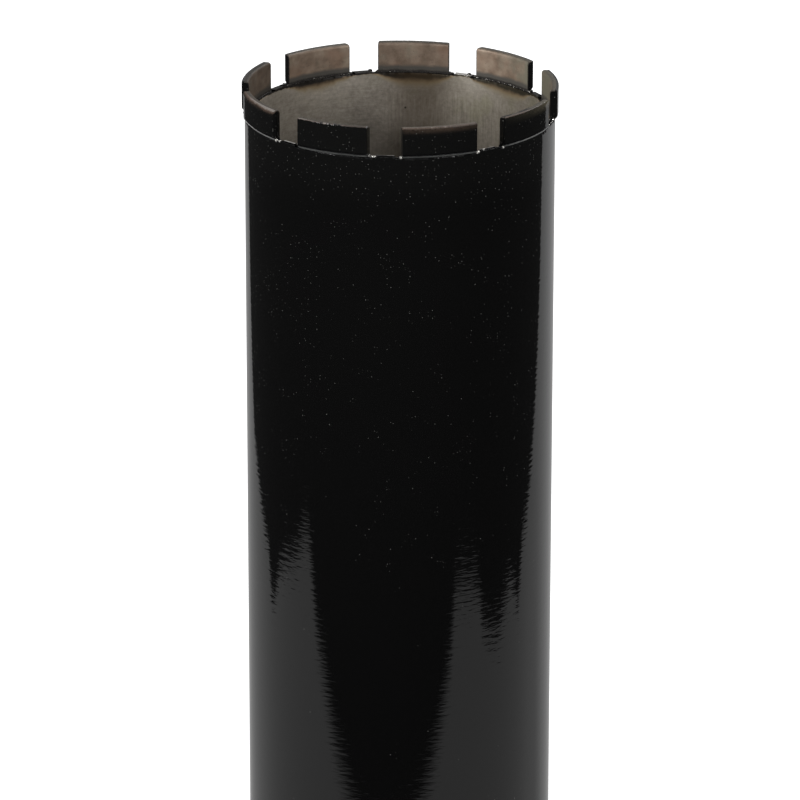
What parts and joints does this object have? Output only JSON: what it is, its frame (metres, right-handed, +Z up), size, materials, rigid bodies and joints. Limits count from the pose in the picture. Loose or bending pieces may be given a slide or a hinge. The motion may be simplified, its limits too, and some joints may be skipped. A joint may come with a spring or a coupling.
{
  "type": "diamond core bit",
  "caption": "Wet-drilling diamond core bit: a black lacquered steel barrel with brazed segments and water slots round its rim, and a threaded hub welded to its back plate.",
  "frame": {"origin": "centre of the hub's seating face, which the bit stands on", "axes": "+Z up along the bit's axis from the hub towards the crown; +Y through the middle of segment 1"},
  "size_m": [0.102, 0.1017, 0.4532],
  "materials": {
    "black_lacquer": "gloss black lacquer with slight orange peel; bare grey-brown steel inside the barrel",
    "sintered_matrix": "bare sintered bronze-grey metal inside, black lacquer outside and on the ends",
    "silver_braze": "bright silver solder, as flowed"
  },
  "bodies": {
    "root": {"barrel": "black_lacquer", "back_plate": "black_lacquer", "hub": "black_lacquer", "plate_weld": "black_lacquer", "hub_weld": "black_lacquer", "segment_1": "sintered_matrix", "braze_1": "silver_braze", "segment_2": "sintered_matrix", "braze_2": "silver_braze", "segment_3": "sintered_matrix", "braze_3": "silver_braze", "segment_4": "sintered_matrix", "braze_4": "silver_braze", "segment_5": "sintered_matrix", "braze_5": "silver_braze", "segment_6": "sintered_matrix", "braze_6": "silver_braze", "segment_7": "sintered_matrix", "braze_7": "silver_braze", "segment_8": "sintered_matrix", "braze_8": "silver_braze", "segment_9": "sintered_matrix", "braze_9": "silver_braze"}
  },
  "joints": []
}
